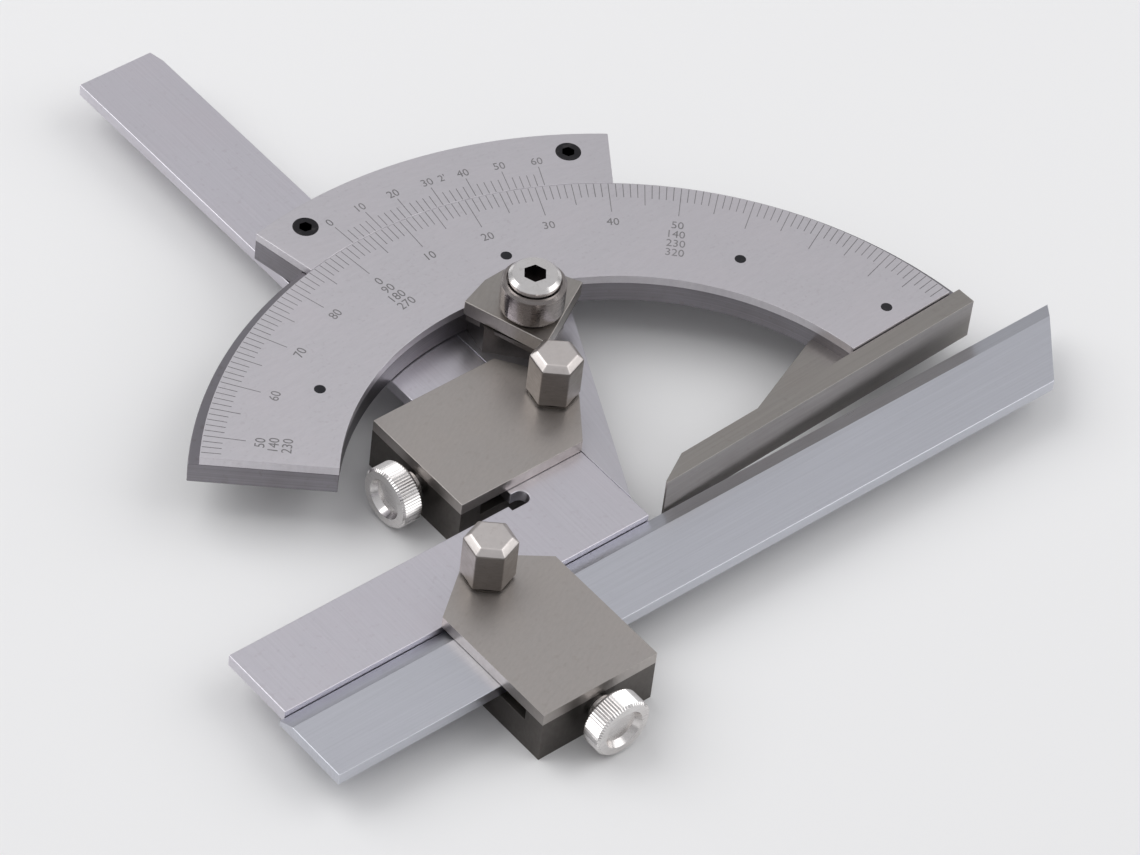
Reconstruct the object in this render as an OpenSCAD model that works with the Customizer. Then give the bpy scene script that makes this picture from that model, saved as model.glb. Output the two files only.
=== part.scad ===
// Universal bevel protractor: a goniometer that measures angles in a workshop.
// The origin is the vertex of the measured angle, at the level of the surface
// that the instrument lies on. +X runs along the blade, +Y along the square's
// long leg and +Z up.

/* [Scale] */
// Outer radius of the graduated scale plate
scale_r = 70; // [66:0.5:90]
// Radial width of the graduated scale plate
scale_w = 21.8; // [18:0.1:22]
// Thickness of the graduated scale plate
scale_t = 1.6; // [1:0.1:3]
// Thickness of the arc body under the scale plate
arc_t = 3.9; // [3.6:0.1:6]
// How far the arc body's running lip stands out past the scale plate
lip_w = 1.8; // [1:0.1:3]
// Angle from the base ruler's face to the far end of the arc
scale_end_a = 137; // [125:1:140]
// Angle that the scale reads at rest
reading = 2.4; // [1:0.1:45]
// Radius of the pins that hold the scale plate on the arc body
pin_r = 0.95; // [0.5:0.05:1.2]

/* [Base ruler] */
// Length from the vertex to the ruler's outer end
ruler_end = 72; // [60:0.5:100]
// Distance from the vertex to the ruler's tip
ruler_tip = 4.2; // [4:0.1:8]
// Width of the ruler
ruler_w = 3.45; // [2.5:0.05:4]
// Length of the chamfered nose
nose_len = 6.1; // [5:0.1:9]
// Height of the ruler
ruler_h = 7.8; // [6:0.1:9]
// Width of the ruler's flange that the arc body is screwed to
flange_w = 8; // [6:0.1:9]
// Thickness of the flange
flange_t = 2; // [1.5:0.1:2.5]

/* [Vernier and sector] */
// Radial width of the vernier plate
vernier_w = 12; // [9:0.1:16]
// Thickness of the vernier plate
vernier_t = 1.5; // [1:0.1:2.5]
// Angle that the vernier covers
vernier_a = 46.2; // [40:0.1:50]
// Angle from the blade to the middle of the vernier and of the brake
middle_a = 77.8; // [76:0.1:80]
// Angle of the vernier's screws either side of its middle
vernier_screw_a = 18; // [12:0.5:20]
// Angle of the sector plate's open edge
sector_a = 63.4; // [62:0.1:65]
// How far that edge passes to the side of the vertex
sector_off = 1.2; // [1.2:0.05:2]

/* [Square] */
// Length of the long leg
leg_a_len = 130; // [110:1:200]
// Width of the long leg
leg_a_w = 15.2; // [12:0.1:18]
// Length of the short leg from the vertex
leg_b_len = 71; // [60:1:120]
// Width of the short leg
leg_b_w = 14; // [12:0.1:16]
// Thickness of the square and of the blade
strip_t = 2.2; // [2:0.1:4]
// How far the long leg's outer edge lies past the vertex
edge_x = 0.9; // [0:0.1:1.5]
// Radius of the relief in the inner corner
relief_r = 1.4; // [0.8:0.1:2]

/* [Blade] */
// Length of the blade's measuring edge past the vertex
blade_right = 86.8; // [70:0.1:140]
// Length of the blade on the other side of the vertex
blade_left = 72; // [60:1:120]
// Width of the blade
blade_w = 14.5; // [12:0.1:17]
// Width of the bevel on the measuring edge
bevel_w = 3; // [1.5:0.1:4]
// Height that the bevel takes off the edge
bevel_h = 1.2; // [0.6:0.1:1.5]
// Angle of the slanted end
blade_end_a = 50; // [35:1:70]

/* [Clamps] */
// Width of a clamp along the strip that it holds
clamp_w = 22.4; // [18:0.1:30]
// Length of the roof-shaped end
clamp_roof = 8.3; // [6:0.1:10]
// Height of the clamp body under the strips
clamp_base = 5.6; // [5.4:0.1:9]
// Thickness of the clamp's cover plate
cover_t = 2.2; // [1.5:0.1:3]
// Thickness of the wall that the side screw passes through
wall_t = 4; // [3.6:0.1:6]
// Thickness of the pressure shoe
shoe_t = 3.5; // [2.5:0.1:5]
// Distance from the strip's edge to the stud
stud_in = 3; // [2.6:0.1:3.4]
// Middle of the clamp that holds the square, along the long leg
clamp_1_y = 27.9; // [26:0.1:29]
// Middle of the clamp that holds the blade, left of the vertex
clamp_2_x = 29.6; // [25:0.1:45]
// Width of a knob across its corners
knob_d = 8.8; // [7:0.1:9]
// Height of a knob
knob_h = 8.3; // [4:0.1:9]
// Turn of the first clamp's knob at rest
knob_1_a = 19; // [-30:1:30]
// Turn of the second clamp's knob at rest
knob_2_a = -11; // [-30:1:30]
// Radius of the side screw's knurled head
side_head_r = 5.2; // [4:0.1:5.3]
// Thickness of that head
side_head_t = 3.9; // [2:0.1:5]
// Length of the plain neck between head and wall
side_neck = 2.4; // [1:0.1:4]
// Radius of the studs and side screws
thread_r = 1.5; // [1.2:0.05:1.7]

/* [Brake] */
// Distance of the brake stud from the arc body's inner face
lock_in = 7.3; // [6.5:0.1:8]
// Turn of the brake plate on its stud
lock_twist = -9; // [-10:1:2]
// Half width of the brake plate
lock_half = 10; // [8:0.1:10.5]
// Thickness of the brake plate
lock_t = 2.8; // [1.2:0.1:3]
// Thickness of the guide's shelf under the brake plate
shelf_t = 1.3; // [0.8:0.1:3]
// Radius of the brake stud
lock_stud_r = 2; // [1.5:0.05:2.5]
// Radius of the brake nut
nut_r = 5.3; // [4.5:0.1:5.6]
// Height of the brake nut
nut_h = 7.7; // [6:0.1:12]
// Height of the nut's wide collar
collar_h = 6; // [4:0.1:6.5]
// Width of the brake nut's hexagon socket across its corners
socket_d = 4.5; // [3:0.1:5]

/* [Hidden] */
$fn = 96;
eps = 0.5;            // how far a cut runs past the face that it opens
run_gap = 0.03;       // radial running clearance of the arc in its track
lift_gap = 0.1;       // clearance above or below a piece that slides
bore_gap = 0.05;      // radial clearance round a stud, screw or pin
edge_gap = 0.1;       // gap between the square's edge and the blade
tip_gap = 0.1;        // room past the end of a screw or pin
ruler_gap = 0.15;     // line between the base ruler and the scale plate
shoe_gap = 0.05;      // gap between a pressure shoe and its strip
shoe_room = 1.75;     // room behind the shoe for its travel
screw_r = 1.25;       // radius of the small screws
screw_head_r = 2.25;
screw_head_t = 1.1;
ruler_drop = 0.5;     // how far the base ruler stands below the scale

// the sector plate is this much thicker than the strips that slide beside it
sector_t = strip_t + lift_gap;
z_strip = clamp_base;
z_cover = z_strip + sector_t;
z_arc = z_cover + lift_gap;
z_scale = z_arc + arc_t;
z_top = z_scale + scale_t;
z_vernier = z_top - vernier_t;
z_lock = z_top + lift_gap;
z_nut = z_lock + lock_t;
z_ruler = z_top - ruler_drop - ruler_h;
z_knob_seat = z_cover + cover_t;
washer_t = 0.5;
z_knob = z_knob_seat + washer_t;

scale_in_r = scale_r - scale_w;
lip_r = scale_r + lip_w;
rail_in_r = lip_r + run_gap;
vernier_in_r = scale_r + bore_gap;
vernier_out_r = scale_r + vernier_w;
vernier_screw_in = 4.3;
vernier_screw_r = vernier_out_r - vernier_screw_in;
vernier_screw_z = z_cover + 1;
arc_end_y = ruler_w + ruler_gap;
nose_tip_w = 0.4;
flange_y = ruler_w + flange_w;
flange_end = scale_r - 4;
flange_start = scale_in_r - 26;
flange_corner = scale_in_r - 2;
flange_screw_y = ruler_w + flange_w / 2;
flange_screws = [scale_in_r + 4, scale_in_r + 14];
flange_screw_z = z_scale - 0.5;
// the scale plate's pins: how far in from its edge, and the angle
pins = [[10.5, 7], [14, 32], [14.2, 72], [15.2, 119]];

lock_r = scale_in_r - lock_in;
pin_sink = 1.5;       // how deep the pins sit in the arc body

// the brake's plate, measured from its stud: the tail, the widest place, the nose
lock_foot_r = 4.5;
lock_tail = 8.2;
lock_shoulder = 3.8;
lock_cheek = [lock_half - 4.7, lock_in + 0.5];
lock_nose = [1.5, lock_in + 2.2];
shelf_in = 0.5;       // how far the guide's shelf stays inside the brake plate's outline
// the guide inside the arc, measured the same way
guide_tail = 3.6;
guide_shoulder = 1.4;
guide_half = 7.4;
guide_reach = lock_in + 1;
guide_screw_x = 5.6;
guide_screw_y = 3.4;
guide_screw_r = 0.9;
track_screw_z = z_cover + 2.5;
rail_screws = [-13, -4, 5];
rail_screw_r = (rail_in_r + vernier_out_r) / 2;
// where the sector plate's edge turns from the open edge towards the vernier
sector_turn_s = scale_in_r + 3;
sector_notch_r = scale_r - 2;

strip_w = max(leg_a_w, blade_w + edge_gap);
strip_min = min(leg_a_w, blade_w + edge_gap);
clamp_len = strip_w + shoe_gap + shoe_t + shoe_room + wall_t;
side_z = clamp_base - 0.1;
shoe_z = side_z - 2.8;
pocket_wall = 1.4;    // wall at each side of the shoe's pocket
pocket_play = 0.3;    // room at each end of the shoe
shoe_half = clamp_w / 2 - pocket_wall - pocket_play;
shoe_grip = 0.6;      // how far the pocket reaches under the narrower strip
screw_tip_in = 1.2;   // how deep the side screw's tip sits in the shoe
side_neck_r = thread_r + 0.9;
cover_pin_v = clamp_w / 2 - 3.2;
cover_pin_r = 0.9;
cover_pin_skin = 0.7; // steel left above a cover pin
cover_pin_z = z_cover - 3;
stud_head_r = 3;
stud_head_t = 1.8;
stud_sink = 0.4;      // how far a stud's head lies inside the clamp's underside
knob_skin = 1.3;      // steel left above the thread in a knob
socket_t = 3.4;       // depth of the brake nut's socket
lock_stud_z = z_nut + nut_h - socket_t - 0.6;

// ---- shapes that repeat ----

function polar(r, a) = [r * cos(a), r * sin(a)];

// A cylinder between two heights.
module rod(r, z0, z1) {
    translate([0, 0, z0])
        cylinder(r = r, h = z1 - z0);
}

// A ring between two radii and two heights.
module ring(r0, r1, z0, z1) {
    difference() {
        rod(r1, z0, z1);
        rod(r0, z0 - eps, z1 + eps);
    }
}

// A ring cut to the angles from a0 to a1, less than half a turn apart.
module ring_sector(r0, r1, z0, z1, a0, a1) {
    difference() {
        ring(r0, r1, z0, z1);
        rotate([0, 0, a0])
            translate([-2 * r1, -2 * r1, z0 - eps])
                cube([4 * r1, 2 * r1, z1 - z0 + 2 * eps]);
        rotate([0, 0, a1])
            translate([-2 * r1, 0, z0 - eps])
                cube([4 * r1, 2 * r1, z1 - z0 + 2 * eps]);
    }
}

// A flat plate with a given outline.
module plate(points, z0, z1) {
    translate([0, 0, z0])
        linear_extrude(z1 - z0)
            polygon(points);
}

// A screw that enters from below, with its head at the bottom.
module screw_from_below(r, z0, z1) {
    rod(r + screw_head_r - screw_r, z0, z0 + screw_head_t);
    rod(r, z0, z1);
}

// The hole for such a screw through the piece that its head sits in.
module screw_hole(r, z0, z1) {
    rod(r + screw_head_r - screw_r + bore_gap, z0 - eps, z0 + screw_head_t + bore_gap);
    rod(r + bore_gap, z0, z1);
}

// Places what turns with the scale.
module on_scale() {
    rotate([0, 0, reading])
        children();
}

// Places what stands on the brake's line, with +Y outward.
module on_middle() {
    rotate([0, 0, middle_a - 90])
        children();
}

// Places a clamp: +X towards its roof, the guiding edge at x = 0.
module at_clamp(which) {
    if (which == 1)
        translate([edge_x, clamp_1_y, 0])
            children();
    else
        translate([-clamp_2_x, 0, 0])
            rotate([0, 0, 90])
                children();
}

// ---- the scale ----

// The band of the arc in the scale's own frame, with its base ruler's face on +X.
module arc_band(r1, z0, z1) {
    difference() {
        ring(scale_in_r, r1, z0, z1);
        translate([-2 * r1, arc_end_y - 4 * r1, z0 - eps])
            cube([4 * r1, 4 * r1, z1 - z0 + 2 * eps]);
        rotate([0, 0, scale_end_a])
            translate([0, 0, z0 - eps])
                cube([2 * r1, 2 * r1, z1 - z0 + 2 * eps]);
    }
}

module at_pins() {
    for (p = pins)
        rotate([0, 0, p[1]])
            translate([scale_r - p[0], 0, 0])
                children();
}

module at_flange_screws() {
    for (x = flange_screws)
        translate([x, flange_screw_y, 0])
            children();
}

module scale_plate() {
    color([0.70, 0.69, 0.72])
        on_scale()
            difference() {
                arc_band(scale_r, z_scale, z_top);
                at_pins()
                    rod(pin_r + bore_gap, z_scale - eps, z_top + eps);
            }
}

module scale_pins() {
    color([0.10, 0.10, 0.11])
        on_scale()
            at_pins()
                rod(pin_r, z_scale - pin_sink, z_top);
}

module arc_body() {
    color([0.45, 0.44, 0.45])
        on_scale()
            difference() {
                arc_band(lip_r, z_arc, z_scale);
                at_pins()
                    rod(pin_r + bore_gap, z_scale - pin_sink - bore_gap, z_scale + eps);
                // the lap where the base ruler's flange fits
                translate([0, 0, z_arc - eps])
                    cube([flange_end + bore_gap, flange_y + bore_gap, flange_t + bore_gap + eps]);
                at_flange_screws()
                    rod(screw_r + bore_gap, z_arc, flange_screw_z + tip_gap);
            }
}

module base_ruler() {
    color([0.52, 0.49, 0.47])
        on_scale()
            difference() {
                union() {
                    plate([
                        [ruler_tip, 0],
                        [ruler_end, 0],
                        [ruler_end, ruler_w],
                        [ruler_tip + nose_len, ruler_w],
                        [ruler_tip, nose_tip_w]
                    ], z_ruler, z_ruler + ruler_h);
                    plate([
                        [flange_start, ruler_w - eps],
                        [flange_end, ruler_w - eps],
                        [flange_end, flange_y],
                        [flange_corner, flange_y]
                    ], z_arc, z_arc + flange_t);
                }
                at_flange_screws()
                    screw_hole(screw_r, z_arc, z_arc + flange_t + eps);
            }
}

module ruler_screws() {
    color([0.60, 0.60, 0.62])
        on_scale()
            at_flange_screws()
                screw_from_below(screw_r, z_arc, flange_screw_z);
}

// ---- the sector, its vernier and its guides ----

// A point on the sector's open edge, a given way along it.
function open_edge(s) = [
    s * cos(sector_a) - sector_off * sin(sector_a),
    s * sin(sector_a) + sector_off * cos(sector_a)
];
corner_s = (edge_x + sector_off * sin(sector_a)) / cos(sector_a);
far = 3 * scale_r;

module at_lock_stud() {
    on_middle()
        translate([0, lock_r, 0])
            children();
}

module at_rail_screws() {
    for (a = rail_screws)
        rotate([0, 0, middle_a + a])
            translate([rail_screw_r, 0, 0])
                children();
}

module at_vernier_screws() {
    for (side = [-1, 1])
        rotate([0, 0, middle_a + side * vernier_screw_a])
            translate([vernier_screw_r, 0, 0])
                children();
}

module at_guide_screws() {
    at_lock_stud()
        for (side = [-1, 1])
            translate([side * guide_screw_x, guide_screw_y, 0])
                children();
}

module sector_plate() {
    color([0.68, 0.67, 0.71])
        difference() {
            intersection() {
                rod(vernier_out_r, z_strip, z_cover);
                plate([
                    open_edge(corner_s),
                    open_edge(sector_turn_s),
                    polar(sector_notch_r, middle_a - vernier_a / 2),
                    polar(far, middle_a - vernier_a / 2),
                    [edge_x, far]
                ], z_strip, z_cover);
            }
            at_clamp(1)
                translate([stud_in, 0, 0])
                    rod(thread_r + bore_gap, z_strip - eps, z_cover + eps);
            at_lock_stud()
                rod(lock_stud_r + bore_gap, z_strip - eps, z_cover + eps);
            at_rail_screws()
                screw_hole(screw_r, z_strip, z_cover + eps);
            at_guide_screws()
                screw_hole(guide_screw_r, z_strip, z_cover + eps);
        }
}

module vernier_band(r0, z0, z1) {
    ring_sector(r0, vernier_out_r, z0, z1,
        middle_a - vernier_a / 2, middle_a + vernier_a / 2);
}

module vernier_rail() {
    color([0.50, 0.49, 0.50])
        difference() {
            vernier_band(rail_in_r, z_cover, z_vernier);
            at_rail_screws()
                rod(screw_r + bore_gap, z_cover - eps, track_screw_z + tip_gap);
            at_vernier_screws()
                rod(screw_r + bore_gap, vernier_screw_z - tip_gap, z_vernier + eps);
        }
}

module rail_screws() {
    color([0.60, 0.60, 0.62])
        at_rail_screws()
            screw_from_below(screw_r, z_strip, track_screw_z);
}

module vernier_plate() {
    color([0.70, 0.69, 0.72])
        difference() {
            vernier_band(vernier_in_r, z_vernier, z_top);
            at_vernier_screws() {
                rod(screw_r + bore_gap, z_vernier - eps, z_top + eps);
                rod(screw_head_r + bore_gap, z_top - screw_head_t - bore_gap, z_top + eps);
            }
        }
}

module vernier_screws() {
    color([0.08, 0.08, 0.09])
        at_vernier_screws() {
            rod(screw_head_r, z_top - screw_head_t, z_top);
            rod(screw_r, vernier_screw_z, z_top - screw_head_t);
        }
}

// the brake plate's outline, drawn in by an inset
function lock_outline(inset) = [
    [0, inset - lock_tail],
    [lock_half - inset, lock_shoulder],
    [lock_cheek[0] - inset, lock_cheek[1]],
    lock_nose,
    [-lock_nose[0], lock_nose[1]],
    [inset - lock_cheek[0], lock_cheek[1]],
    [inset - lock_half, lock_shoulder]
];

module inner_guide() {
    color([0.50, 0.47, 0.45])
        difference() {
            intersection() {
                rod(scale_in_r - run_gap, z_cover, z_top);
                at_lock_stud()
                    union() {
                        plate([
                            [0, -guide_tail],
                            [guide_half, guide_shoulder],
                            [guide_half, guide_reach],
                            [-guide_half, guide_reach],
                            [-guide_half, guide_shoulder]
                        ], z_cover, z_top);
                        rotate([0, 0, lock_twist])
                            plate(lock_outline(shelf_in), z_top - shelf_t, z_top);
                    }
            }
            at_lock_stud()
                rod(lock_stud_r + bore_gap, z_cover - eps, z_top + eps);
            at_guide_screws()
                rod(guide_screw_r + bore_gap, z_cover - eps, track_screw_z + tip_gap);
        }
}

module guide_screws() {
    color([0.60, 0.60, 0.62])
        at_guide_screws()
            screw_from_below(guide_screw_r, z_strip, track_screw_z);
}

// ---- the brake ----

module brake_stud() {
    color([0.55, 0.55, 0.57])
        at_lock_stud() {
            rod(lock_foot_r, 0, z_strip);
            rod(lock_stud_r, z_strip, lock_stud_z);
        }
}

module brake_plate() {
    color([0.52, 0.49, 0.47])
        at_lock_stud()
            rotate([0, 0, lock_twist])
                difference() {
                    plate(lock_outline(0), z_lock, z_nut);
                    rod(lock_stud_r + bore_gap, z_lock - eps, z_nut + eps);
                }
}

module brake_nut() {
    chamfer = 0.6;
    rim = 0.5;
    step = 0.9;
    cap_r = nut_r - step;
    color([0.78, 0.77, 0.76])
        at_lock_stud()
            difference() {
                translate([0, 0, z_nut])
                    rotate_extrude()
                        polygon([
                            [0, 0],
                            [nut_r - chamfer, 0],
                            [nut_r, chamfer],
                            [nut_r, collar_h],
                            [cap_r, collar_h + step],
                            [cap_r, nut_h - rim],
                            [cap_r - rim, nut_h],
                            [0, nut_h]
                        ]);
                rod(lock_stud_r + bore_gap, z_nut - eps, lock_stud_z + tip_gap);
                translate([0, 0, z_nut + nut_h - socket_t])
                    cylinder(d = socket_d, h = socket_t + eps, $fn = 6);
            }
}

// ---- the square and the blade ----

module square() {
    x0 = edge_x - leg_a_w;
    corner = [0.6, 2.9];
    relief = [x0 + 0.9, leg_b_w + 0.4];
    color([0.68, 0.67, 0.71])
        difference() {
            union() {
                plate([
                    [x0, 0],
                    [edge_x, 0],
                    [edge_x, leg_a_len - corner[1]],
                    [edge_x - corner[0], leg_a_len],
                    [x0, leg_a_len]
                ], z_strip, z_strip + strip_t);
                translate([-leg_b_len, 0, z_strip])
                    cube([leg_b_len, leg_b_w, strip_t]);
            }
            // the relief: a short slot with a round end, into the long leg
            translate(relief)
                rod(relief_r, z_strip - eps, z_cover + eps);
            translate([relief[0] - 2 * relief_r, relief[1] - relief_r, z_strip - eps])
                cube([2 * relief_r, 2 * relief_r, strip_t + 2 * eps]);
            at_clamp(2)
                translate([stud_in, 0, 0])
                    rod(thread_r + bore_gap, z_strip - eps, z_cover + eps);
        }
}

module blade() {
    color([0.66, 0.66, 0.70])
        difference() {
            translate([-blade_left, 0, 0])
                rotate([90, 0, 90])
                    linear_extrude(blade_left + blade_right)
                        polygon([
                            [-edge_gap, z_strip],
                            [-edge_gap, z_strip + strip_t - bevel_h],
                            [-edge_gap - bevel_w, z_strip + strip_t],
                            [-edge_gap - blade_w, z_strip + strip_t],
                            [-edge_gap - blade_w, z_strip]
                        ]);
            translate([blade_right, -edge_gap, z_strip - eps])
                rotate([0, 0, blade_end_a - 90])
                    translate([0, -3 * blade_w, 0])
                        cube([4 * blade_w, 4 * blade_w, strip_t + 2 * eps]);
        }
}

// ---- the clamps ----

clamp_outline = [
    [-clamp_len, -clamp_w / 2],
    [0, -clamp_w / 2],
    [clamp_roof, 0],
    [0, clamp_w / 2],
    [-clamp_len, clamp_w / 2]
];

// How far a clamp's strip reaches from the guiding edge.
function strip_of(which) = which == 1 ? leg_a_w : blade_w + edge_gap;

// A rod along X at the side screw's height.
module side_rod(r, x0, x1) {
    translate([x0, 0, side_z])
        rotate([0, 90, 0])
            cylinder(r = r, h = x1 - x0);
}

module at_cover_pins() {
    for (side = [-1, 1])
        translate([wall_t / 2 - clamp_len, side * cover_pin_v, 0])
            children();
}

module clamp_body(which) {
    pocket_x = wall_t - clamp_len;
    pocket_end = shoe_grip - strip_min;
    pocket_half = shoe_half + pocket_play;
    color([0.50, 0.47, 0.45])
        at_clamp(which)
            difference() {
                union() {
                    plate(clamp_outline, 0, z_strip);
                    translate([-clamp_len, -clamp_w / 2, 0])
                        cube([wall_t, clamp_w, z_cover]);
                }
                translate([pocket_x, -pocket_half, shoe_z - lift_gap])
                    cube([pocket_end - pocket_x, 2 * pocket_half, z_cover]);
                side_rod(thread_r + bore_gap, -clamp_len - eps, pocket_x + eps);
                translate([stud_in, 0, 0]) {
                    rod(thread_r + bore_gap, -eps, z_strip + eps);
                    rod(stud_head_r + bore_gap, -eps, stud_sink + stud_head_t + tip_gap);
                }
                at_cover_pins()
                    rod(cover_pin_r + bore_gap, cover_pin_z, z_cover + eps);
            }
}

module clamp_cover(which) {
    color([0.52, 0.49, 0.47])
        at_clamp(which)
            difference() {
                plate(clamp_outline, z_cover, z_knob_seat);
                translate([stud_in, 0, 0])
                    rod(thread_r + bore_gap, z_cover - eps, z_knob_seat + eps);
                at_cover_pins()
                    rod(cover_pin_r + bore_gap, z_cover - eps, z_knob_seat - cover_pin_skin);
            }
}

module clamp_pins(which) {
    color([0.60, 0.60, 0.62])
        at_clamp(which)
            at_cover_pins()
                rod(cover_pin_r, cover_pin_z + tip_gap, z_knob_seat - cover_pin_skin - tip_gap);
}

module clamp_stud(which) {
    color([0.55, 0.55, 0.57])
        at_clamp(which)
            translate([stud_in, 0, 0]) {
                rod(stud_head_r, stud_sink, stud_sink + stud_head_t);
                rod(thread_r, stud_sink + stud_head_t, z_knob + knob_h - knob_skin - tip_gap);
            }
}

module clamp_washer(which) {
    color([0.45, 0.44, 0.43])
        at_clamp(which)
            translate([stud_in, 0, 0])
                ring(thread_r + bore_gap, knob_d / 2 - 0.5, z_knob_seat, z_knob);
}

module clamp_knob(which) {
    chamfer = 0.5;
    rim = [0.8, 1];
    knob_r = knob_d / 2;
    color([0.62, 0.59, 0.56])
        at_clamp(which)
            translate([stud_in, 0, 0])
                rotate([0, 0, which == 1 ? knob_1_a : knob_2_a])
                    difference() {
                        intersection() {
                            translate([0, 0, z_knob])
                                cylinder(r = knob_r, h = knob_h, $fn = 6);
                            translate([0, 0, z_knob])
                                rotate_extrude()
                                    polygon([
                                        [0, 0],
                                        [knob_r - chamfer, 0],
                                        [knob_r, chamfer],
                                        [knob_r, knob_h - rim[1]],
                                        [knob_r - rim[0], knob_h],
                                        [0, knob_h]
                                    ]);
                        }
                        rod(thread_r + bore_gap, z_knob - eps, z_knob + knob_h - knob_skin);
                    }
}

module clamp_screw(which) {
    head_x = -clamp_len - side_neck - side_head_t;
    tip_x = -strip_of(which) - shoe_gap - shoe_t + screw_tip_in;
    neck_x = -clamp_len - 0.6;
    color([0.80, 0.79, 0.78])
        at_clamp(which) {
            side_rod(side_head_r, head_x, head_x + side_head_t);
            side_rod(side_neck_r, head_x + side_head_t, neck_x);
            side_rod(thread_r, neck_x, tip_x);
        }
}

module clamp_shoe(which) {
    shoe_x = -strip_of(which) - shoe_gap - shoe_t;
    color([0.60, 0.58, 0.50])
        at_clamp(which)
            difference() {
                translate([shoe_x, -shoe_half, shoe_z])
                    cube([shoe_t, 2 * shoe_half, z_cover - lift_gap - shoe_z]);
                side_rod(thread_r + bore_gap, shoe_x - eps, shoe_x + screw_tip_in + bore_gap);
            }
}

scale_plate();
scale_pins();
arc_body();
base_ruler();
ruler_screws();
sector_plate();
vernier_rail();
rail_screws();
vernier_plate();
vernier_screws();
inner_guide();
guide_screws();
brake_stud();
brake_plate();
brake_nut();
square();
blade();
clamp_body(1);  // clamp_1_body
clamp_cover(1);  // clamp_1_cover
clamp_pins(1);  // clamp_1_pins
clamp_stud(1);  // clamp_1_stud
clamp_washer(1);  // clamp_1_washer
clamp_knob(1);  // clamp_1_knob
clamp_screw(1);  // clamp_1_screw
clamp_shoe(1);  // clamp_1_shoe
clamp_body(2);  // clamp_2_body
clamp_cover(2);  // clamp_2_cover
clamp_pins(2);  // clamp_2_pins
clamp_stud(2);  // clamp_2_stud
clamp_washer(2);  // clamp_2_washer
clamp_knob(2);  // clamp_2_knob
clamp_screw(2);  // clamp_2_screw
clamp_shoe(2);  // clamp_2_shoe
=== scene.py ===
import math

import bmesh
import bpy
from mathutils import Matrix, Vector


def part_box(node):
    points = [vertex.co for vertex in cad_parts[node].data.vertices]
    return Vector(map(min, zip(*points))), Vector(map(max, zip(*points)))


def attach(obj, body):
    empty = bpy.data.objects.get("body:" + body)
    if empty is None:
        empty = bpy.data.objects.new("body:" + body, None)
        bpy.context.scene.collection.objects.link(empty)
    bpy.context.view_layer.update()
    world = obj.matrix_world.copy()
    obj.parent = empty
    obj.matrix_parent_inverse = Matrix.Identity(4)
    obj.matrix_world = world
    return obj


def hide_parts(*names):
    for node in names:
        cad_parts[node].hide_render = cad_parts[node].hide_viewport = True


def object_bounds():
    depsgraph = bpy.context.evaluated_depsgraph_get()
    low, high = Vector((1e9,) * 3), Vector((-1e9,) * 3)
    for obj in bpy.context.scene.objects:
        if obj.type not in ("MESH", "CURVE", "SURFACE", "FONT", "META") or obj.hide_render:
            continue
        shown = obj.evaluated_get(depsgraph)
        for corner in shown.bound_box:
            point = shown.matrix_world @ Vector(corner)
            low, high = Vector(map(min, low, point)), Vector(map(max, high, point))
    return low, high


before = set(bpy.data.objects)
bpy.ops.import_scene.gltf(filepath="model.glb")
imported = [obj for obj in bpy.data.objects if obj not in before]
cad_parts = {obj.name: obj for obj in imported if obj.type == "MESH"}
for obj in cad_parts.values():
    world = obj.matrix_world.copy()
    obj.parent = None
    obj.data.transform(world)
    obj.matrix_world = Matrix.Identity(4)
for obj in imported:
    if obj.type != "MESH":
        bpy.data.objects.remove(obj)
cad_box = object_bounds()

# ---- camera ----
# A long lens looks down on the instrument from its near left corner.
# Its place and its tilt are in the instrument's own frame.
MM = 0.001

camera_data = bpy.data.cameras.new("camera")
camera_data.sensor_width = 36
camera_data.lens = 181.8
camera_data.clip_start = 0.05
camera_data.clip_end = 20
camera = bpy.data.objects.new("camera", camera_data)
bpy.context.scene.collection.objects.link(camera)
bpy.context.scene.camera = camera

view_from = Vector((-449.4, -433.8, 657.0)) * MM
view_ahead = Vector((0.49527, 0.49906, -0.71108)).normalized()
view_up = Vector((0.4052, 0.59133, 0.69724))
view_right = view_ahead.cross(view_up).normalized()
view_up = view_right.cross(view_ahead)
camera.matrix_world = Matrix.Translation(view_from) @ Matrix(
    (view_right, view_up, -view_ahead)
).transposed().to_4x4()

# ---- floor and light ----
# A pale sweep under the instrument, two large soft lamps and an even sky.
# The sky is brighter overhead than at the horizon, which gives satin steel its shading.
bpy.context.scene.view_settings.view_transform = "Standard"

floor_mesh = bpy.data.meshes.new("floor")
floor_bm = bmesh.new()
bmesh.ops.create_grid(floor_bm, x_segments=2, y_segments=2, size=3)
floor_bm.to_mesh(floor_mesh)
floor_bm.free()
floor = bpy.data.objects.new("floor", floor_mesh)
bpy.context.scene.collection.objects.link(floor)
floor.location.z = cad_box[0].z

floor_paint = bpy.data.materials.new("pale_floor")
floor_paint.use_nodes = True
floor_paint.node_tree.nodes["Principled BSDF"].inputs["Base Color"].default_value = (0.84, 0.84, 0.84, 1)
floor_paint.node_tree.nodes["Principled BSDF"].inputs["Roughness"].default_value = 0.9
floor_paint.node_tree.nodes["Principled BSDF"].inputs["Specular IOR Level"].default_value = 0.1
floor_mesh.materials.append(floor_paint)

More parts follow.
